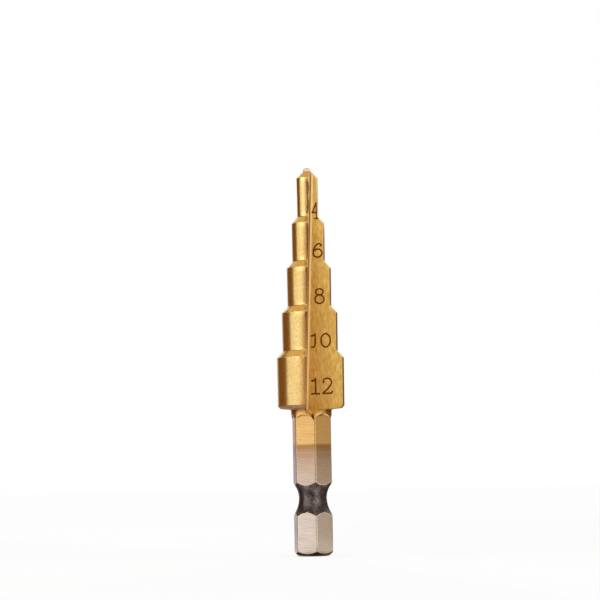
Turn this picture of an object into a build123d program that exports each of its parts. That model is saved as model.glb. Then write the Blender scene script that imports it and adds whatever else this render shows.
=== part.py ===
from build123d import *
import math
import os

# Step drill for sheet metal, ground from one bar of high-speed steel.
# All sizes are in millimetres and all angles in degrees.
# The origin is the centre of the flat end of the shank, +Z points to the tip,
# and one flat of the hexagon faces -Y. Clock angles turn from -Y towards +X.

# Hexagonal shank, ground on a round bar
hex_sides = 6
hex_across_flats = 6.35
bar_diameter = 7.2
shank_length = 25.95  # from the shank end to the underside of the stepped body
flat_end_gap = 1.3  # bar left round between a flat's arched end and the body
flat_end_radius = 3.0  # the arch that the grinding wheel leaves
flat_end_slope = 35.0  # how far the wall behind the arch leans back

# Shank end, chamfered on the lathe and rounded over
end_chamfer_width = 0.95
end_chamfer_height = 0.8
end_round = 0.45

# Power groove, which a quick-change chuck's ball drops into
groove_height = 10.2  # from the shank end to the narrowest place
groove_floor_diameter = 4.9
groove_rise_above = 2.7  # from the narrowest place up to the groove's edge
groove_rise_below = 3.2

# Stepped body: one radius for each step, the widest step at the bottom
step_radii = [6.0, 5.0, 4.0, 3.0, 2.0]
first_step_length = 8.95  # from the underside to the widest step's cutting rim
step_pitch = 8.0  # from one cutting rim to the next
shoulder_rise = 1.2  # height of the cutting cone between two steps
back_taper = 0.05  # each step is this much smaller in radius at its lower end
body_chamfer = 0.45
underside_drop = 0.2  # how far the underside cone falls towards the neck
neck_round = 0.3

# Pilot and point
pilot_length = 8.2  # from the last cutting rim to the start of the point
point_length = 1.85
point_half_angle = 47.0
centre_base_radius = 0.8  # stub left at the middle between the two flutes
centre_top_radius = 0.38
centre_shoulder_radius = 0.62
centre_shoulder_drop = 0.16

# Lands: the cutting edge stands proud and the heel falls away behind it
land_relief = 0.05
land_front_clock = 16.0  # the cutting edge, where the land has its full radius
land_split_clock = 51.0  # middle of the open flute, where the two lands part

# Straight V flutes, spaced evenly round the drill
flute_count = 2
face_clock = 9.0  # the wide flute face looks this far round from the hexagon's flat
face_offset = 0.70  # distance from the drill's axis to that face
rake_opening = 14.5  # the rake wall leans this far from square to the wide face
root_lean = 2.3  # the flute's root leans over, which gives the edges a little hook
root_crossing_rise = 26.95  # from the underside up to where the root crosses the face's middle
root_round = 0.55

# Flute's lower end: the root turns away in a toe, and a ledge closes the wide face
ledge_drop = 1.1  # from the underside down to the ledge at the wide face's middle
ledge_slope = 15.9
ledge_clearance = 0.05  # the ledge turns level just under the body
toe_rise = 0.7  # from the ledge up to where the root turns away
toe_along = 0.1  # where the turned root reaches the ledge
toe_radius = 0.7

# Run-out: the facet that carries each flute's rake side down onto the shank
runout_start_drop = 0.35  # from the underside down to the facet's mouth
runout_length = 2.2
runout_tip_along = 1.36
runout_tip_out = 2.99
runout_root_along = 0.26
runout_spread_left = -0.78
runout_spread_right = 1.90
runout_mouth_out = 5.0

# Sizes that follow
bar_radius = bar_diameter / 2
flat_distance = hex_across_flats / 2
flat_length = shank_length - flat_end_gap
body_radius = step_radii[0]
pilot_radius = step_radii[-1]
underside_height = shank_length - underside_drop
last_rim_height = shank_length + first_step_length + (len(step_radii) - 2) * step_pitch
point_start_height = last_rim_height + pilot_length
tip_height = point_start_height + point_length
cut_margin = 2.0


def clock_direction(angle):
    """Level direction at a clock angle, from -Y towards +X."""
    turn = math.radians(angle)
    return Vector(math.sin(turn), -math.cos(turn), 0)


def point_rise(outer_radius, inner_radius):
    """How far the point's cone rises between two radii."""
    return (outer_radius - inner_radius) / math.tan(math.radians(point_half_angle))


def groove_side(rise, direction):
    """Half of the groove's outline, from the floor up (+1) or down (-1) to the bar's surface."""
    floor = (groove_floor_diameter / 2, groove_height)
    depth = bar_radius - groove_floor_diameter / 2
    arc_radius = (rise**2 + depth**2) / (2 * depth)
    turn = math.degrees(math.asin(rise / arc_radius))
    return JernArc(floor, (0, direction), arc_radius, -direction * turn)


# Round bar with the chamfered end and the groove, from the shank end up into the body
bar_top = shank_length + body_chamfer
with BuildPart() as bar:
    with BuildSketch(Plane.XZ) as bar_profile:
        with BuildLine():
            lower_side = groove_side(groove_rise_below, -1)
            upper_side = groove_side(groove_rise_above, 1)
            end_radius = bar_radius - end_chamfer_width
            Polyline((0, 0), (end_radius, 0), (bar_radius, end_chamfer_height), lower_side @ 1)
            Polyline(upper_side @ 1, (bar_radius, bar_top), (0, bar_top), (0, 0))
        make_face()
        end_corner = bar_profile.vertices().sort_by_distance((end_radius, 0, 0))[0]
        fillet(end_corner, end_round)
    revolve(axis=Axis.Z)

# One flat of the hexagon, as the wheel cuts it: level along the shank, arched at its end
with BuildPart() as flat_cut:
    flat_plane = Plane(
        origin=clock_direction(0) * flat_distance, x_dir=(1, 0, 0), z_dir=clock_direction(0)
    )
    arch_height = flat_length - flat_end_radius
    with BuildSketch(flat_plane):
        with Locations((0, arch_height)):
            Circle(flat_end_radius)
        with Locations((0, (arch_height - cut_margin) / 2)):
            Rectangle(2 * flat_end_radius, arch_height + cut_margin)
    extrude(amount=bar_radius - flat_distance + cut_margin / 2, taper=-flat_end_slope)

# One land: the stepped outline turned about an axis a little off the drill's own
with BuildPart() as land:
    land_axis_point = clock_direction(land_front_clock + 90) * land_relief
    land_outline = [
        (0, underside_height),
        (bar_radius, underside_height),
        (body_radius - body_chamfer, shank_length),
        (body_radius - back_taper, shank_length + body_chamfer),
    ]
    for index, (radius, next_radius) in enumerate(zip(step_radii, step_radii[1:])):
        rim_height = shank_length + first_step_length + index * step_pitch
        land_outline.append((radius, rim_height))
        land_outline.append((next_radius - back_taper, rim_height + shoulder_rise))
    cone_top = point_start_height + point_rise(pilot_radius, centre_top_radius)
    land_outline.append((pilot_radius, point_start_height))
    land_outline.append((centre_top_radius, cone_top))
    land_outline.append((0, cone_top))
    with BuildSketch(Plane(origin=land_axis_point, x_dir=(1, 0, 0), z_dir=(0, -1, 0))):
        with BuildLine():
            Polyline(*land_outline, close=True)
        make_face()
    revolve(axis=Axis(land_axis_point, (0, 0, 1)))
    split(
        bisect_by=Plane(origin=(0, 0, 0), z_dir=clock_direction(land_split_clock - 90)),
        keep=Keep.TOP,
    )

# Stub at the very tip, where the flutes leave the middle uncut
with BuildPart() as centre_stub:
    stub_cone_top = point_start_height + point_rise(pilot_radius - land_relief, centre_base_radius)
    with BuildSketch(Plane.XZ):
        with BuildLine():
            Polyline(
                (0, point_start_height),
                (centre_base_radius, point_start_height),
                (centre_base_radius, stub_cone_top),
                (centre_shoulder_radius, tip_height - centre_shoulder_drop),
                (centre_top_radius, tip_height),
                (0, tip_height),
                close=True,
            )
        make_face()
    revolve(axis=Axis.Z)

# The wide face of one flute, with the places on it given along it, up it and out from it
face_normal = clock_direction(face_clock)
face_plane = Plane(
    origin=face_normal * face_offset, x_dir=clock_direction(face_clock + 90), z_dir=face_normal
)
ledge_height = shank_length - ledge_drop
ledge_steepness = math.tan(math.radians(ledge_slope))


def root_corner(height):
    """Where the leaning root lies on the wide face at a height."""
    rise = height - shank_length - root_crossing_rise
    return (rise * math.tan(math.radians(root_lean)), height)


def ledge_corner(along):
    """Where the sloping ledge lies at a place across the wide face."""
    return (along, ledge_height + along * ledge_steepness)


# One flute: the rake wall and the ledge stand up from the wide face
with BuildPart() as flute_cut:
    toe_start = root_corner(ledge_height + toe_rise)
    toe_end = ledge_corner(toe_along)
    level_height = underside_height - ledge_clearance
    flute_side = body_radius + cut_margin
    flute_top = tip_height + cut_margin
    with BuildSketch(face_plane) as flute_face:
        with BuildLine():
            Polyline(
                root_corner(flute_top),
                toe_start,
                toe_end,
                ledge_corner((level_height - ledge_height) / ledge_steepness),
                (flute_side, level_height),
                (flute_side, flute_top),
                close=True,
            )
        make_face()
        toe_corner = face_plane.from_local_coords(toe_start)
        fillet(flute_face.vertices().sort_by_distance(toe_corner)[0], toe_radius)
    extrude(amount=flute_side, dir=clock_direction(face_clock + rake_opening))
    level_faces = flute_cut.faces().filter_by(face_plane)
    wide_face = level_faces.sort_by(Axis(face_plane.origin, face_normal))[0]
    root_edges = wide_face.edges().filter_by(
        lambda edge: face_plane.to_local_coords(edge.center()).X < toe_along
    )
    fillet(root_edges, root_round)

# Facet under the rake side, a thin pyramid that points down at the shank
with BuildPart() as runout_cut:
    mouth_height = shank_length - runout_start_drop
    mouth_corners = [
        (runout_root_along, mouth_height, 0),
        (runout_spread_right, mouth_height, runout_mouth_out),
        (runout_spread_left, mouth_height, runout_mouth_out),
    ]
    mouth_points = [face_plane.from_local_coords(corner) for corner in mouth_corners]
    runout_tip = face_plane.from_local_coords(
        (runout_tip_along, mouth_height - runout_length, runout_tip_out)
    )
    with BuildSketch(Plane.XY.offset(mouth_height)) as runout_mouth:
        with BuildLine():
            Polyline(*[(point.X, point.Y) for point in mouth_points], close=True)
        make_face()
    loft([runout_mouth.sketch.face(), Vertex(*runout_tip)])

# The drill
with BuildPart() as step_drill:
    add(bar.part)
    with PolarLocations(0, hex_sides):
        add(flat_cut.part, mode=Mode.SUBTRACT)
    with PolarLocations(0, flute_count):
        add(land.part)
    add(centre_stub.part)
    with PolarLocations(0, flute_count):
        add(flute_cut.part, mode=Mode.SUBTRACT)
        add(runout_cut.part, mode=Mode.SUBTRACT)
    neck_edges = step_drill.edges().filter_by_position(
        Axis.Z, underside_height, underside_height + land_relief
    )
    fillet(neck_edges, neck_round)

os.makedirs("parts", exist_ok=True)
step_drill.part.label = "step_drill"
export_step(step_drill.part, "parts/step_drill.step")
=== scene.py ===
import math
import bmesh
import bpy
from mathutils import Matrix, Vector


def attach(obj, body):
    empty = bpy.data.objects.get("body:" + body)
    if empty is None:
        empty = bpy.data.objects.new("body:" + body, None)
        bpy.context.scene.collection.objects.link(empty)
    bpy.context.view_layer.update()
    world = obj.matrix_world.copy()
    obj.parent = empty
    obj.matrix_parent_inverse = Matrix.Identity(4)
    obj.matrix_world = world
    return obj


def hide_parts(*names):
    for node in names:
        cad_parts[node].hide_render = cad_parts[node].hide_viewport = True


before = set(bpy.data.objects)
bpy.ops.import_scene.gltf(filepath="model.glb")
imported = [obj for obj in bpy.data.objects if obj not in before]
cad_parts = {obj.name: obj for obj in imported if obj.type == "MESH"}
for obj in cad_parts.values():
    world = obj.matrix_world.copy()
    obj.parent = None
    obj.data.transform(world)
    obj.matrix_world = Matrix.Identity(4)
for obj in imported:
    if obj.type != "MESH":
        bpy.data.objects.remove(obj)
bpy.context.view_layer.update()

# Step drill: gold-coated stepped body, ground hexagonal shank, blackened quick-change groove.
# Metres, in the frame's own axes. Clock angles turn from -Y towards +X, as seen from the tip.

mm = 0.001
print("frame loaded")


def clockDirection(angle):
    turn = math.radians(angle)
    return Vector((math.sin(turn), -math.cos(turn), 0))


def pictureColour(red, green, blue):
    # an eight-bit picture colour as the linear colour that shaders take
    def straighten(value):
        value /= 255
        return value / 12.92 if value <= 0.04045 else ((value + 0.055) / 1.055) ** 2.4
    return (straighten(red), straighten(green), straighten(blue), 1)


def linkToScene(thing):
    bpy.context.scene.collection.objects.link(thing)
    return thing


# Materials. Each has its look in a dictionary, with colours as red, green and blue up to 255,
# grains as so many per millimetre along x, y and z, and a share as how much of a colour shows at most.
noiseSpan = (0.3, 0.7)  # nearly all of a noise lies between these
noiseDetail = {"soft": 2, "fine": 3, "finest": 4}
openSpan = (0.35, 0.9)  # how open a place is where the painted crevice shade is full and where it ends
creviceShadeRays = 8


def startMaterial(name):
    material = bpy.data.materials.new(name)
    material.use_nodes = True
    tree = material.node_tree
    return tree.nodes, tree.links, tree.nodes["Principled BSDF"]


def plugIn(links, socket, value):
    if isinstance(value, bpy.types.NodeSocket):
        links.new(value, socket)
    else:
        socket.default_value = value


def dressShader(links, shader, colour, roughness, metallic):
    plugIn(links, shader.inputs["Base Color"], colour)
    plugIn(links, shader.inputs["Roughness"], roughness)
    plugIn(links, shader.inputs["Metallic"], metallic)


def addRange(nodes, links, value, given, taken=(0, 1)):
    # what runs over the taken span comes out over the given one
    spread = nodes.new("ShaderNodeMapRange")
    spread.inputs["From Min"].default_value, spread.inputs["From Max"].default_value = taken
    spread.inputs["To Min"].default_value, spread.inputs["To Max"].default_value = given
    links.new(value, spread.inputs["Value"])
    return spread.outputs["Result"]


def addGrain(nodes, links, perMillimetre, detail="soft"):
    # a noise from 0 to 1, fixed to the drill
    place = nodes.new("ShaderNodeTexCoord")
    stretch = nodes.new("ShaderNodeVectorMath")
    stretch.operation = "MULTIPLY"
    stretch.inputs[1].default_value = [count / mm for count in perMillimetre]
    noise = nodes.new("ShaderNodeTexNoise")
    noise.inputs["Scale"].default_value = 1
    noise.inputs["Detail"].default_value = noiseDetail[detail]
    links.new(place.outputs["Object"], stretch.inputs[0])
    links.new(stretch.outputs[0], noise.inputs["Vector"])
    return addRange(nodes, links, noise.outputs["Fac"], (0, 1), noiseSpan)


def blendColours(nodes, links, share, first, second):
    # the Mix node's colours are its inputs 6 and 7 and its output 2
    blend = nodes.new("ShaderNodeMix")
    blend.data_type = "RGBA"
    plugIn(links, blend.inputs[0], share)
    plugIn(links, blend.inputs[6], first)
    plugIn(links, blend.inputs[7], second)
    return blend.outputs[2]


def blendByGrain(nodes, links, grain, look, first, second):
    # from one colour of the look to another, as the grain rises
    return blendColours(nodes, links, grain, pictureColour(*look[first]), pictureColour(*look[second]))


def addTint(nodes, links, colour, grain, tint, share):
    # lays a tint over a colour, up to its share where the grain is 1
    shown = addRange(nodes, links, grain, (0, share))
    return blendColours(nodes, links, shown, colour, pictureColour(*tint))


def addRamp(nodes, links, stops):
    # a colour that changes with the height above the shank end, by stops in millimetres
    longest = stops[-1][0]
    place = nodes.new("ShaderNodeTexCoord")
    split = nodes.new("ShaderNodeSeparateXYZ")
    ramp = nodes.new("ShaderNodeValToRGB")
    links.new(place.outputs["Object"], split.inputs[0])
    links.new(addRange(nodes, links, split.outputs["Z"], (0, 1), (0, longest * mm)), ramp.inputs[0])
    knots = ramp.color_ramp.elements
    while len(knots) < len(stops):
        knots.new(1)
    for knot, (height, colour) in zip(knots, stops):
        knot.position = height / longest
        knot.color = pictureColour(*colour)
    return ramp.outputs["Color"]


def addBump(nodes, links, shader, height, depth):
    bump = nodes.new("ShaderNodeBump")
    bump.inputs["Strength"].default_value = 1
    bump.inputs["Distance"].default_value = depth
    links.new(height, bump.inputs["Height"])
    links.new(bump.outputs["Normal"], shader.inputs["Normal"])


def addCreviceShade(nodes, links, colour, look):
    # painted shade: the more closed in a place is, the darker it is painted, as in crevices
    corner = nodes.new("ShaderNodeAmbientOcclusion")
    corner.samples = creviceShadeRays
    corner.inputs["Distance"].default_value = look["creviceShadeReach"]
    share = addRange(nodes, links, corner.outputs["AO"], (look["creviceShadeShare"], 0), openSpan)
    return blendColours(nodes, links, share, colour, pictureColour(*look["creviceShade"]))


goldLook = {
    "pale": (255, 226, 156), "deep": (250, 212, 134), "cloud": (0.5, 0.5, 0.35),
    "sand": (206, 150, 74), "sandShare": 0.46, "speckle": (3.6, 3.6, 3.6),
    "rings": (0.3, 0.3, 9), "ringShare": 0.35,  # how much the rings stand out against the speckle
    "roughness": (0.21, 0.28), "metallic": 1, "bumpDepth": 0.0008 * mm,
    # painted crevice shade: its colour, how much of it shows and how far it reaches
    "creviceShade": (120, 62, 12), "creviceShadeShare": 0.55, "creviceShadeReach": 0.7 * mm,
}


def makeGold(name, look):
    # turned lands and cones, with fine rings, a sandy speckle and faint clouds
    nodes, links, shader = startMaterial(name)
    speckle = addGrain(nodes, links, look["speckle"], "fine")
    rings = addGrain(nodes, links, look["rings"])
    cloud = addGrain(nodes, links, look["cloud"])
    colour = blendByGrain(nodes, links, cloud, look, "pale", "deep")
    colour = addTint(nodes, links, colour, speckle, look["sand"], look["sandShare"])
    colour = addCreviceShade(nodes, links, colour, look)
    roughness = addRange(nodes, links, speckle, look["roughness"])
    dressShader(links, shader, colour, roughness, look["metallic"])
    relief = nodes.new("ShaderNodeMath")
    relief.operation = "MULTIPLY_ADD"
    links.new(rings, relief.inputs[0])
    relief.inputs[1].default_value = look["ringShare"]
    links.new(speckle, relief.inputs[2])
    addBump(nodes, links, shader, relief.outputs[0], look["bumpDepth"])


groundLook = {
    "pale": (255, 224, 122), "deep": (218, 148, 56), "streaks": (4.5, 4.5, 0.9),
    "streakSpan": (0.1, 1), "streakShare": 0.8,
    "blotch": (204, 148, 70), "blotchShare": 0.45, "blotches": (1.7, 1.7, 0.7),
    "roughness": (0.42, 0.56), "metallic": 0.5, "bumpDepth": 0.0016 * mm,
    # painted crevice shade: its colour, how much of it shows and how far it reaches
    "creviceShade": (96, 46, 8), "creviceShadeShare": 0.22, "creviceShadeReach": 0.9 * mm,
}
rakeLook = dict(groundLook, pale=(228, 178, 98), deep=(210, 156, 78))
# painted highlight: a paler, hardly metallic copy for the bright half of the flute's root
rootHighlightLook = dict(
    groundLook, pale=(255, 226, 150), deep=(255, 214, 132), blotch=(250, 202, 118),
    blotchShare=0.5, metallic=0.1, creviceShadeShare=0,
)
# painted shade: a darker copy for faces that look downwards
underShadeLook = dict(
    groundLook, pale=(190, 146, 108), deep=(160, 120, 84), blotch=(130, 90, 58),
    blotchShare=0.4,
)


def makeGroundGold(name, look):
    # flute faces, streaked along the drill by the wheel that ground them
    nodes, links, shader = startMaterial(name)
    streaks = addGrain(nodes, links, look["streaks"], "fine")
    blotches = addGrain(nodes, links, look["blotches"])
    share = addRange(nodes, links, streaks, (0, look["streakShare"]), look["streakSpan"])
    colour = blendByGrain(nodes, links, share, look, "pale", "deep")
    colour = addTint(nodes, links, colour, blotches, look["blotch"], look["blotchShare"])
    colour = addCreviceShade(nodes, links, colour, look)
    roughness = addRange(nodes, links, streaks, look["roughness"])
    dressShader(links, shader, colour, roughness, look["metallic"])
    addBump(nodes, links, shader, streaks, look["bumpDepth"])


shankLook = {
    "stops": [
        (0, (238, 223, 211)), (7, (238, 223, 211)),  # bare steel
        (13.5, (226, 203, 185)), (15.2, (221, 195, 171)), (17, (213, 181, 155)),  # heat tint
        (17.7, (200, 164, 131)), (18.1, (206, 170, 135)), (18.5, (194, 154, 112)),
        (18.9, (190, 146, 98)), (19.3, (186, 140, 84)), (19.55, (218, 168, 98)),  # coating's edge
        (19.75, (253, 206, 132)), (22, (252, 203, 128)), (24.9, (250, 200, 122)),  # gold
        (25.2, (238, 184, 108)), (25.65, (180, 126, 64)), (26, (128, 78, 28)),  # darker towards the body: painted shade under it
    ],
    "shade": (150, 122, 104),
    "lines": (0.5, 0.5, 13), "lineShare": 0.22, "patches": (0.35, 0.35, 0.6), "patchShare": 0.11,
    "roughness": (0.2, 0.34), "metallic": 1, "bumpDepth": 0.0008 * mm,
    # painted crevice shade: its colour, how much of it shows and how far it reaches
    "creviceShade": (112, 66, 20), "creviceShadeShare": 0.45, "creviceShadeReach": 1.2 * mm,
}


def makeShank(name, look):
    # ground flats with lines across them, coated only near the body
    nodes, links, shader = startMaterial(name)
    lines = addGrain(nodes, links, look["lines"], "finest")
    patches = addGrain(nodes, links, look["patches"])
    colour = addRamp(nodes, links, look["stops"])
    colour = addTint(nodes, links, colour, lines, look["shade"], look["lineShare"])
    colour = addTint(nodes, links, colour, patches, look["shade"], look["patchShare"])
    colour = addCreviceShade(nodes, links, colour, look)
    roughness = addRange(nodes, links, lines, look["roughness"])
    dressShader(links, shader, colour, roughness, look["metallic"])
    addBump(nodes, links, shader, lines, look["bumpDepth"])


grooveLook = {
    "dark": (66, 55, 52), "rubbed": (184, 172, 166), "grain": (4, 4, 4),
    "patches": (0.6, 0.6, 0.35), "patchSpan": (0.3, 0.9), "patchShare": 0.85,
    "roughness": (0.3, 0.5), "metallic": 0.8, "bumpDepth": 0.003 * mm,
}
endLook = dict(grooveLook, dark=(26, 21, 20), rubbed=(58, 50, 48), metallic=0.4)


def makeBlackened(name, look):
    # black oxide, rubbed paler in patches
    nodes, links, shader = startMaterial(name)
    patches = addGrain(nodes, links, look["patches"], "finest")
    grain = addGrain(nodes, links, look["grain"], "finest")
    speckled = blendByGrain(nodes, links, grain, look, "dark", "rubbed")
    share = addRange(nodes, links, patches, (0, look["patchShare"]), look["patchSpan"])
    colour = blendColours(nodes, links, share, pictureColour(*look["dark"]), speckled)
    roughness = addRange(nodes, links, grain, look["roughness"])
    dressShader(links, shader, colour, roughness, look["metallic"])
    addBump(nodes, links, shader, grain, look["bumpDepth"])


engravingLook = {
    "dark": (92, 40, 4), "light": (136, 74, 16), "grain": (6, 6, 6),
    "roughness": 0.6, "metallic": 0.2, "shine": 0.1,
}


def makeEngraving(name, look):
    nodes, links, shader = startMaterial(name)
    grain = addGrain(nodes, links, look["grain"], "fine")
    colour = blendByGrain(nodes, links, grain, look, "dark", "light")
    dressShader(links, shader, colour, look["roughness"], look["metallic"])
    shader.inputs["Specular IOR Level"].default_value = look["shine"]


# worn edges: paler from wear, and painted paler as a highlight too
wornHighlightLook = {
    "stops": [
        (0, (250, 240, 230)), (18, (246, 226, 204)),  # bare steel
        (19.6, (226, 190, 146)), (19.9, (252, 212, 146)), (25.3, (250, 208, 140)),  # coated shank
        (25.7, (188, 146, 110)), (26.5, (188, 146, 110)),  # darker round the underside: painted shade
        (26.7, (252, 218, 154)), (27, (252, 218, 154)),  # stepped body
    ],
    "under": (216, 160, 84), "underShare": 0.25, "grain": (3, 3, 3),
    "roughness": (0.38, 0.55), "metallic": 1,
}


def makeWornHighlightEdge(name, look):
    # edges paler than what lies beside them: partly rubbed by wear, partly a painted highlight
    nodes, links, shader = startMaterial(name)
    grain = addGrain(nodes, links, look["grain"], "finest")
    colour = addRamp(nodes, links, look["stops"])
    colour = addTint(nodes, links, colour, grain, look["under"], look["underShare"])
    roughness = addRange(nodes, links, grain, look["roughness"])
    dressShader(links, shader, colour, roughness, look["metallic"])


# painted shade for the inner corners
creaseShadeLook = {"colour": (164, 108, 44), "roughness": 0.5, "metallic": 0.6}


def makeCreaseShade(name, look):
    # painted shade along the inner corners and the root's darker half
    nodes, links, shader = startMaterial(name)
    dressShader(links, shader, pictureColour(*look["colour"]), look["roughness"], look["metallic"])


tipLook = {
    "pale": (255, 236, 218), "deep": (240, 208, 182), "grain": (8, 8, 8),
    "roughness": 0.42, "metallic": 0.8, "bumpDepth": 0.002 * mm,
}


def makeWornTip(name, look):
    nodes, links, shader = startMaterial(name)
    grain = addGrain(nodes, links, look["grain"], "fine")
    colour = blendByGrain(nodes, links, grain, look, "pale", "deep")
    dressShader(links, shader, colour, look["roughness"], look["metallic"])
    addBump(nodes, links, shader, grain, look["bumpDepth"])


makeGold("goldCoating", goldLook)
makeGroundGold("groundGold", groundLook)
makeGroundGold("rakeGold", rakeLook)
makeGroundGold("rootGold", rootHighlightLook)
makeGroundGold("underGold", underShadeLook)
makeShank("groundShank", shankLook)
makeBlackened("blackGroove", grooveLook)
makeBlackened("blackEnd", endLook)
makeEngraving("engraving", engravingLook)
makeWornHighlightEdge("wornEdge", wornHighlightLook)
makeCreaseShade("crease", creaseShadeLook)
makeWornTip("wornTip", tipLook)
print("materials made")

# The drill's mesh: the frame's own shape with its edges slightly worn round
drillSizes = {
    "edgeRound": 0.055 * mm,
    "roundSteps": 2,
    "roundProfile": 0.5,  # a half makes the rounding a true arc
    "sharpFrom": 26,  # degrees between two faces that make an edge worth rounding
    "smoothUpTo": 40,  # degrees between two faces that shade as one
    "largeFaceWeight": 100,
    "mergeWithin": 0.0002 * mm,
    "flatWithin": 0.05,  # degrees
}


def makeDrill():
    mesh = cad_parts["step_drill"].data.copy()
    mesh.name = "stepDrill"
    mesh.materials.clear()
    for name in ("goldCoating", "wornEdge", "crease"):
        mesh.materials.append(bpy.data.materials[name])
    shape = bmesh.new()
    shape.from_mesh(mesh)
    bmesh.ops.remove_doubles(shape, verts=shape.verts, dist=drillSizes["mergeWithin"])
    bmesh.ops.dissolve_limit(
        shape, angle_limit=math.radians(drillSizes["flatWithin"]), verts=shape.verts, edges=shape.edges
    )
    for face in shape.faces:
        face.material_index = 0
    sharpFrom = math.radians(drillSizes["sharpFrom"])
    worn = bmesh.ops.bevel(
        shape, geom=[edge for edge in shape.edges if edge.calc_face_angle(0) > sharpFrom],
        offset=drillSizes["edgeRound"], offset_type="OFFSET", segments=drillSizes["roundSteps"],
        profile=drillSizes["roundProfile"], affect="EDGES", clamp_overlap=False,
    )
    for face in worn["faces"]:
        bend = sum(edge.calc_face_angle_signed(0) for edge in face.edges)
        face.material_index = 1 if bend > 0 else 2  # an outer edge is worn paler, with a painted highlight; an inner corner gets painted shade
    shape.to_mesh(mesh)
    shape.free()
    return linkToScene(bpy.data.objects.new("stepDrill", mesh))


# Numbers: each digit is a few strokes in a box one wide and one high, cut with a round tool
digitStrokes = {
    "0": [("loop", 0.5, 0.5, 0.5, 0.5)],
    "1": [
        ("curve", (0.04, 0.86), (0.3, 0.88), (0.53, 1)),
        ("dot", (0.1, 0.86)),
        ("line", (0.53, 1), (0.53, 0)),
        ("line", (0, 0), (1, 0)),
    ],
    "hooked 1": [
        ("curve", (0.06, 0.87), (0.42, 0.9), (0.86, 1)),
        ("dot", (0.16, 0.87)),
        ("curve", (0.86, 1), (0.88, 0.5), (0.82, 0.18), (0.5, 0.02), (0.06, 0.03)),
    ],
    "2": [
        (
            "curve", (0.1, 0.76), (0.16, 0.92), (0.5, 1), (0.86, 0.9), (0.93, 0.68),
            (0.62, 0.38), (0.03, 0.02),
        ),
        ("line", (0.03, 0.02), (0.94, 0.02)),
        ("line", (0.94, 0.02), (1, 0.14)),
        ("dot", (0.12, 0.76)),
    ],
    "4": [
        ("line", (0.74, 1), (0, 0.38)),
        ("line", (0, 0.38), (1, 0.36)),
        ("line", (0.76, 1), (0.76, 0)),
        ("line", (0.48, 0), (1, 0)),
    ],
    "6": [
        ("curve", (0.9, 0.88), (0.7, 1), (0.36, 0.9), (0.08, 0.62), (0, 0.3)),
        ("loop", 0.5, 0.3, 0.5, 0.3),
        ("dot", (0.9, 0.87)),
    ],
    "8": [("loop", 0.5, 0.79, 0.42, 0.21), ("loop", 0.5, 0.29, 0.5, 0.29)],
}

numberLook = {
    "faceClock": 9.0,  # which way the wide flute face looks
    "faceOffset": 0.70 * mm,  # how far that face lies from the drill's axis
    "toolRadius": 0.165 * mm,
    "toolLift": 0.07 * mm,  # the round tool's middle stays this far above the face
    "dotGrowth": 1.3,  # a dot at a stroke's end is this much wider than the tool
    "loopKnots": 8,
    "pathSteps": 6,  # straight steps between two knots of a path
    "toolSmoothness": 4,
    "ballSides": 14,
    "ballRings": 9,
}
faceOutward = clockDirection(numberLook["faceClock"])
faceAcross = clockDirection(numberLook["faceClock"] + 90)

# what is cut, where its middle lies along the face and above the shank end, its width and height
numbers = [
    ("4", 1.47 * mm, 61.15 * mm, 0.98 * mm, 2.79 * mm),
    ("6", 1.80 * mm, 54.00 * mm, 1.60 * mm, 2.40 * mm),
    ("8", 2.00 * mm, 45.82 * mm, 1.62 * mm, 2.62 * mm),
    ("hooked 1", 0.78 * mm, 37.92 * mm, 0.76 * mm, 2.37 * mm),
    ("0", 2.97 * mm, 37.92 * mm, 1.66 * mm, 2.37 * mm),
    ("1", 0.97 * mm, 29.84 * mm, 1.38 * mm, 2.69 * mm),
    ("2", 3.12 * mm, 29.84 * mm, 1.74 * mm, 2.69 * mm),
]


def strokeCutter(kind, points, place):
    # the round tool's path as a tube
    look = numberLook
    if kind == "loop":
        middleX, middleY, halfWidth, halfHeight = points
        turns = [math.radians(360 / look["loopKnots"] * knot) for knot in range(look["loopKnots"])]
        points = [
            (middleX + halfWidth * math.sin(turn), middleY + halfHeight * math.cos(turn))
            for turn in turns
        ]
    curve = bpy.data.curves.new("stroke", "CURVE")
    curve.dimensions = "3D"
    curve.bevel_depth = look["toolRadius"]
    curve.bevel_resolution = look["toolSmoothness"]
    curve.use_fill_caps = True
    curve.resolution_u = look["pathSteps"]
    spline = curve.splines.new("BEZIER")
    spline.bezier_points.add(len(points) - 1)
    spline.use_cyclic_u = kind == "loop"
    for knot, (x, y) in zip(spline.bezier_points, points):
        knot.co = place(x, y)
        knot.handle_left_type = knot.handle_right_type = "VECTOR" if kind == "line" else "AUTO"
    path = linkToScene(bpy.data.objects.new("stroke", curve))
    bpy.context.view_layer.update()
    mesh = bpy.data.meshes.new_from_object(path)
    bpy.data.objects.remove(path)
    tube = bmesh.new()
    tube.from_mesh(mesh)
    bmesh.ops.remove_doubles(tube, verts=tube.verts, dist=drillSizes["mergeWithin"])
    tube.to_mesh(mesh)
    tube.free()
    return mesh


def dotCutter(place, radius):
    mesh = bpy.data.meshes.new("dot")
    ball = bmesh.new()
    bmesh.ops.create_uvsphere(
        ball, u_segments=numberLook["ballSides"], v_segments=numberLook["ballRings"],
        radius=radius, matrix=Matrix.Translation(place),
    )
    ball.to_mesh(mesh)
    ball.free()
    return mesh


def keepShape(thing):
    # what the modifiers make becomes the object's own mesh
    bpy.context.view_layer.update()
    shaped = thing.evaluated_get(bpy.context.evaluated_depsgraph_get())
    mesh = bpy.data.meshes.new_from_object(shaped)
    thing.modifiers.clear()
    thing.data = mesh


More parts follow.
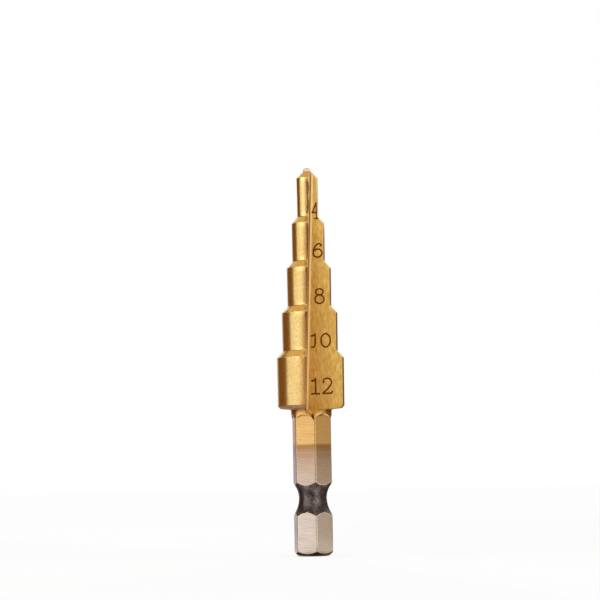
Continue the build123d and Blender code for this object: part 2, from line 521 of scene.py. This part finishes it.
def cutAway(drill, mesh):
    mesh.materials.clear()
    mesh.materials.append(bpy.data.materials["engraving"])
    cutter = linkToScene(bpy.data.objects.new("cutter", mesh))
    change = drill.modifiers.new("cut", "BOOLEAN")
    change.operation = "DIFFERENCE"
    change.solver = "MANIFOLD"
    change.material_mode = "TRANSFER"
    change.object = cutter
    keepShape(drill)
    bpy.data.objects.remove(cutter)


def cutNumbers(drill):
    look = numberLook
    lift = faceOutward * (look["faceOffset"] + look["toolLift"])
    for digit, along, height, width, tall in numbers:
        def place(x, y):
            level = Vector((0, 0, height + (y - 0.5) * tall))
            return lift + faceAcross * (along + (x - 0.5) * width) + level
        for kind, *points in digitStrokes[digit]:
            if kind == "dot":
                cutAway(drill, dotCutter(place(*points[0]), look["toolRadius"] * look["dotGrowth"]))
                continue
            cutAway(drill, strokeCutter(kind, points, place))
            if kind != "loop":
                for end in (points[0], points[-1]):
                    cutAway(drill, dotCutter(place(*end), look["toolRadius"]))


# Which finish each face of the drill has, told by where it lies and which way it looks.
# A facing is how squarely a face looks the named way, where 1 is squarely and 0 is sideways.
zones = {
    "toeFrom": 22.6 * mm,  # flute's lower end, which dips into the shank
    "toeRadius": 3.1 * mm,
    "bodyFrom": 25.7 * mm,
    "tipFrom": 68.2 * mm,
    "tipRadius": 1.0 * mm,
    "grooveFrom": 6.9 * mm,
    "grooveTo": 13.0 * mm,
    "endTo": 1.0 * mm,
    "hexSides": 6,
    "shankHalf": 3.175 * mm,  # from the axis to a flat of the hexagon
    "barRadius": 3.6 * mm,
    "slack": 0.06 * mm,
    "flatFacing": 0.999,  # along the wide face's own direction
    "landFacing": 0.96,  # away from the drill's axis
    "landFrom": 1.5 * mm,  # a land lies at least this far out
    "rootFacing": 0.76,  # along the wide face's direction: the half of the root with a painted highlight
    "creaseFacing": 0.3,  # the same for the half with painted shade
    "creaseRise": 0.3,  # upwards, which a crease doesn't reach
    "underFacing": 0.5,  # downwards
    "endFacing": 0.2,
}


def onWideFace(polygon):
    # the two wide flute faces lie equally far from the drill's axis
    away = abs(polygon.center.dot(faceOutward)) - numberLook["faceOffset"]
    return abs(polygon.normal.dot(faceOutward)) > zones["flatFacing"] and abs(away) < zones["slack"]


def finishOnBody(facing, radial):
    # faces that look downwards get painted shade
    if facing.z < -zones["underFacing"]:
        return "underGold"
    outward = facing.x * radial.x + facing.y * radial.y
    away = outward > zones["landFacing"] * radial.length * math.hypot(facing.x, facing.y)
    if radial.length > zones["landFrom"] and away:
        return "goldCoating"
    squarely = abs(facing.dot(faceOutward))
    # the flute's root: a painted highlight on one half, painted shade on the other
    if squarely > zones["rootFacing"]:
        return "rootGold"
    if squarely > zones["creaseFacing"] and facing.z < zones["creaseRise"]:
        return "crease"
    return "rakeGold"


def finishOnShank(place, facing, radial):
    if facing.z < -zones["endFacing"] and place.z < zones["endTo"]:
        return "blackEnd"
    if zones["grooveFrom"] < place.z < zones["grooveTo"]:
        sides = [clockDirection(360 / zones["hexSides"] * side) for side in range(zones["hexSides"])]
        inFlats = max(radial.dot(side) for side in sides) < zones["shankHalf"] - zones["slack"]
        if inFlats and radial.length < zones["barRadius"] - zones["slack"]:
            return "blackGroove"
    return "groundShank"


def finishOf(polygon):
    place, facing = polygon.center, polygon.normal
    radial = Vector((place.x, place.y, 0))
    if place.z > zones["tipFrom"] and radial.length < zones["tipRadius"]:
        return "wornTip"
    atToe = zones["toeFrom"] < place.z < zones["bodyFrom"] and radial.length < zones["toeRadius"]
    if atToe or onWideFace(polygon):
        return "groundGold"
    if place.z > zones["bodyFrom"]:
        return finishOnBody(facing, radial)
    return finishOnShank(place, facing, radial)


def paintZones(drill):
    # worn edges with their painted highlight, inner corners with painted shade and the numbers have
    # their finish by now, and the rest gets its own
    names = [
        "goldCoating", "groundGold", "rakeGold", "rootGold", "underGold", "groundShank",
        "blackGroove", "blackEnd", "wornTip", "wornEdge", "crease", "engraving",
    ]
    mesh = drill.data
    found = [mesh.materials[polygon.material_index].name for polygon in mesh.polygons]
    mesh.materials.clear()
    for name in names:
        mesh.materials.append(bpy.data.materials[name])
    for polygon, name in zip(mesh.polygons, found):
        if name == "goldCoating":
            name = finishOf(polygon)
        polygon.material_index = names.index(name)


def smoothDrill(drill):
    # the wide flute faces shade flat, and what is round shades smooth
    mesh = drill.data
    mesh.set_sharp_from_angle(angle=math.radians(drillSizes["smoothUpTo"]))
    for polygon in mesh.polygons:
        polygon.use_smooth = not onWideFace(polygon)
    change = drill.modifiers.new("flats", "WEIGHTED_NORMAL")
    change.keep_sharp = True
    change.weight = drillSizes["largeFaceWeight"]
    keepShape(drill)


drill = makeDrill()
print("drill shaped:", len(drill.data.polygons), "faces")
cutNumbers(drill)
paintZones(drill)
smoothDrill(drill)
print("numbers cut:", len(drill.data.polygons), "faces")

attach(drill, "root")
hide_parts("step_drill")

# The plain floor, the studio light and the camera
plainWhite = (1, 1, 1, 1)
stageLook = {
    "floorSize": 3.0,
    "floorColour": (0.9, 0.9, 0.9, 1),
    "floorRoughness": 0.8,
    "floorGlow": 0.8,  # how much of what the camera sees of the floor is plain white
    "worldStrength": 1.0,
}


def addSeenShare(nodes, links):
    # 1 for what the camera sees straight, in a reflection or through glass
    rays = nodes.new("ShaderNodeLightPath")
    total = rays.outputs["Is Camera Ray"]
    for name in ("Is Glossy Ray", "Is Transmission Ray"):
        largest = nodes.new("ShaderNodeMath")
        largest.operation = "MAXIMUM"
        links.new(total, largest.inputs[0])
        links.new(rays.outputs[name], largest.inputs[1])
        total = largest.outputs[0]
    return total


def makeFloor():
    half = stageLook["floorSize"] / 2
    mesh = bpy.data.meshes.new("floor")
    corners = [(-half, -half, 0), (half, -half, 0), (half, half, 0), (-half, half, 0)]
    mesh.from_pydata(corners, [], [(0, 1, 2, 3)])
    floor = linkToScene(bpy.data.objects.new("floor", mesh))
    nodes, links, shader = startMaterial("paleFloor")
    shader.inputs["Base Color"].default_value = stageLook["floorColour"]
    shader.inputs["Roughness"].default_value = stageLook["floorRoughness"]
    glow = nodes.new("ShaderNodeEmission")
    blend = nodes.new("ShaderNodeMixShader")
    share = addRange(nodes, links, addSeenShare(nodes, links), (0, stageLook["floorGlow"]))
    links.new(share, blend.inputs[0])
    links.new(shader.outputs[0], blend.inputs[1])
    links.new(glow.outputs[0], blend.inputs[2])
    links.new(blend.outputs[0], nodes["Material Output"].inputs["Surface"])
    mesh.materials.append(bpy.data.materials["paleFloor"])


def makeWorld():
    world = bpy.data.worlds.new("studio")
    bpy.context.scene.world = world
    world.use_nodes = True
    nodes, links = world.node_tree.nodes, world.node_tree.links
    light = nodes["Background"]
    light.inputs["Color"].default_value = plainWhite
    light.inputs["Strength"].default_value = stageLook["worldStrength"]
    backdrop = nodes.new("ShaderNodeBackground")
    backdrop.inputs["Color"].default_value = plainWhite
    blend = nodes.new("ShaderNodeMixShader")
    links.new(addSeenShare(nodes, links), blend.inputs[0])
    links.new(light.outputs[0], blend.inputs[1])
    links.new(backdrop.outputs[0], blend.inputs[2])
    links.new(blend.outputs[0], nodes["World Output"].inputs["Surface"])


cameraSetup = {
    "clock": 21.0,  # which side of the drill the camera looks at
    "distance": 350 * mm,
    "height": 14 * mm,
    "aimAcross": -1.66 * mm,  # what it looks at, beside the drill's axis and above the shank end
    "aimHeight": 45.29 * mm,
    "pictureWidth": 106.9 * mm,  # what the picture spans at that distance
    "roll": 1.01,
    "sensorWidth": 36,
    "nearest": 10 * mm,
}


def makeCamera():
    setup = cameraSetup
    data = bpy.data.cameras.new("camera")
    camera = linkToScene(bpy.data.objects.new("camera", data))
    side = clockDirection(setup["clock"])
    place = side * setup["distance"] + Vector((0, 0, setup["height"]))
    aim = clockDirection(setup["clock"] + 90) * setup["aimAcross"] + Vector((0, 0, setup["aimHeight"]))
    data.sensor_width = setup["sensorWidth"]
    data.lens = data.sensor_width * (aim - place).length / setup["pictureWidth"]
    data.clip_start = setup["nearest"]
    upright = (aim - place).to_track_quat("-Z", "Y").to_matrix().to_4x4()
    roll = Matrix.Rotation(math.radians(-setup["roll"]), 4, "Z")
    camera.matrix_world = Matrix.Translation(place) @ upright @ roll
    bpy.context.scene.camera = camera


# Cards round the stage, which give the metal its bands. Only reflections show them.
cardSizes = {
    "distance": 0.25,
    "innerEdge": 0.02,
    "lift": 0.0002,  # above the floor
    "clockStep": 4,
    "roundSides": 24,
}
sideCards = [
    {"name": "frontLeftCard", "clocks": (-13, 1), "top": 0.09, "shade": (0.5, 0.3, 0.12)},
    {"name": "frontCard", "clocks": (1, 34), "top": 0.14, "shade": (0.08, 0.015, 0)},
    {"name": "frontRightCard", "clocks": (40, 66), "top": 0.2, "shade": (0.82, 0.78, 0.7)},
    {"name": "rightCard", "clocks": (82, 106), "top": 0.2, "shade": (0.55, 0.49, 0.4)},
    {"name": "rightRearCard", "clocks": (106, 198), "top": 0.09, "shade": (0.16, 0.1, 0.06)},
    {"name": "leftRearCard", "clocks": (-128, -68), "top": 0.24, "shade": (0.185, 0.085, 0.022)},
    {"name": "farLeftCard", "clocks": (-160, -128), "top": 0.09, "shade": (0.62, 0.59, 0.7)},
]
levelCards = [
    {
        "name": "ceilingCard", "clock": -60, "aside": 0.2, "height": 0.4, "radius": 0.36,
        "shade": (0.72, 0.57, 0.33),
    },
    {
        "name": "zenithCard", "clock": -50, "aside": 0.03, "height": 0.39, "radius": 0.055,
        "shade": (0.32, 0.23, 0.1),
    },
    {
        "name": "baseCard", "clock": 0, "aside": 0, "height": 0.0003, "radius": 0.0075,
        "shade": (0.2, 0.12, 0.06),
    },
]


def hangCard(name, corners, faces, shade):
    mesh = bpy.data.meshes.new(name)
    mesh.from_pydata(corners, [], faces)
    card = linkToScene(bpy.data.objects.new(name, mesh))
    nodes, links = startMaterial(name)[:2]
    glow = nodes.new("ShaderNodeEmission")
    glow.inputs["Color"].default_value = (*shade, 1)
    links.new(glow.outputs[0], nodes["Material Output"].inputs["Surface"])
    mesh.materials.append(bpy.data.materials[name])
    card.visible_camera = False
    card.visible_diffuse = False
    card.visible_transmission = False
    card.visible_shadow = False


def makeSideCard(name, clocks, top, shade):
    # stands on the floor and runs in along it towards the drill
    sizes = cardSizes
    fold = [
        (sizes["innerEdge"], sizes["lift"]),  # distance out and height
        (sizes["distance"], sizes["lift"]),
        (sizes["distance"], top),
    ]
    start, end = clocks
    steps = max(2, round((end - start) / sizes["clockStep"]))
    corners = []
    for step in range(steps + 1):
        across = clockDirection(start + (end - start) * step / steps)
        corners += [across * distance + Vector((0, 0, height)) for distance, height in fold]
    rows = len(fold)
    faces = [
        (rows * step + row, rows * (step + 1) + row, rows * (step + 1) + row + 1, rows * step + row + 1)
        for step in range(steps) for row in range(rows - 1)
    ]
    hangCard(name, corners, faces, shade)


def makeLevelCard(name, clock, aside, height, radius, shade):
    sides = cardSizes["roundSides"]
    middle = clockDirection(clock) * aside + Vector((0, 0, height))
    corners = [middle + clockDirection(360 / sides * side) * radius for side in range(sides)]
    hangCard(name, corners, [tuple(range(sides))], shade)


softboxLook = {
    "clock": -30, "distance": 0.5, "height": 0.3, "size": (0.3, 0.3), "aimHeight": 35 * mm,
    "power": 0.35,
}


def makeSoftbox():
    look = softboxLook
    data = bpy.data.lights.new("keySoftbox", "AREA")
    data.shape = "RECTANGLE"
    data.size, data.size_y = look["size"]
    data.energy = look["power"]
    lamp = linkToScene(bpy.data.objects.new("keySoftbox", data))
    place = clockDirection(look["clock"]) * look["distance"] + Vector((0, 0, look["height"]))
    aim = Vector((0, 0, look["aimHeight"])) - place
    lamp.matrix_world = Matrix.Translation(place) @ aim.to_track_quat("-Z", "Y").to_matrix().to_4x4()


makeFloor()
makeWorld()
makeCamera()
for card in sideCards:
    makeSideCard(**card)
for card in levelCards:
    makeLevelCard(**card)
makeSoftbox()
bpy.context.scene.view_settings.view_transform = "Standard"
print("stage set")
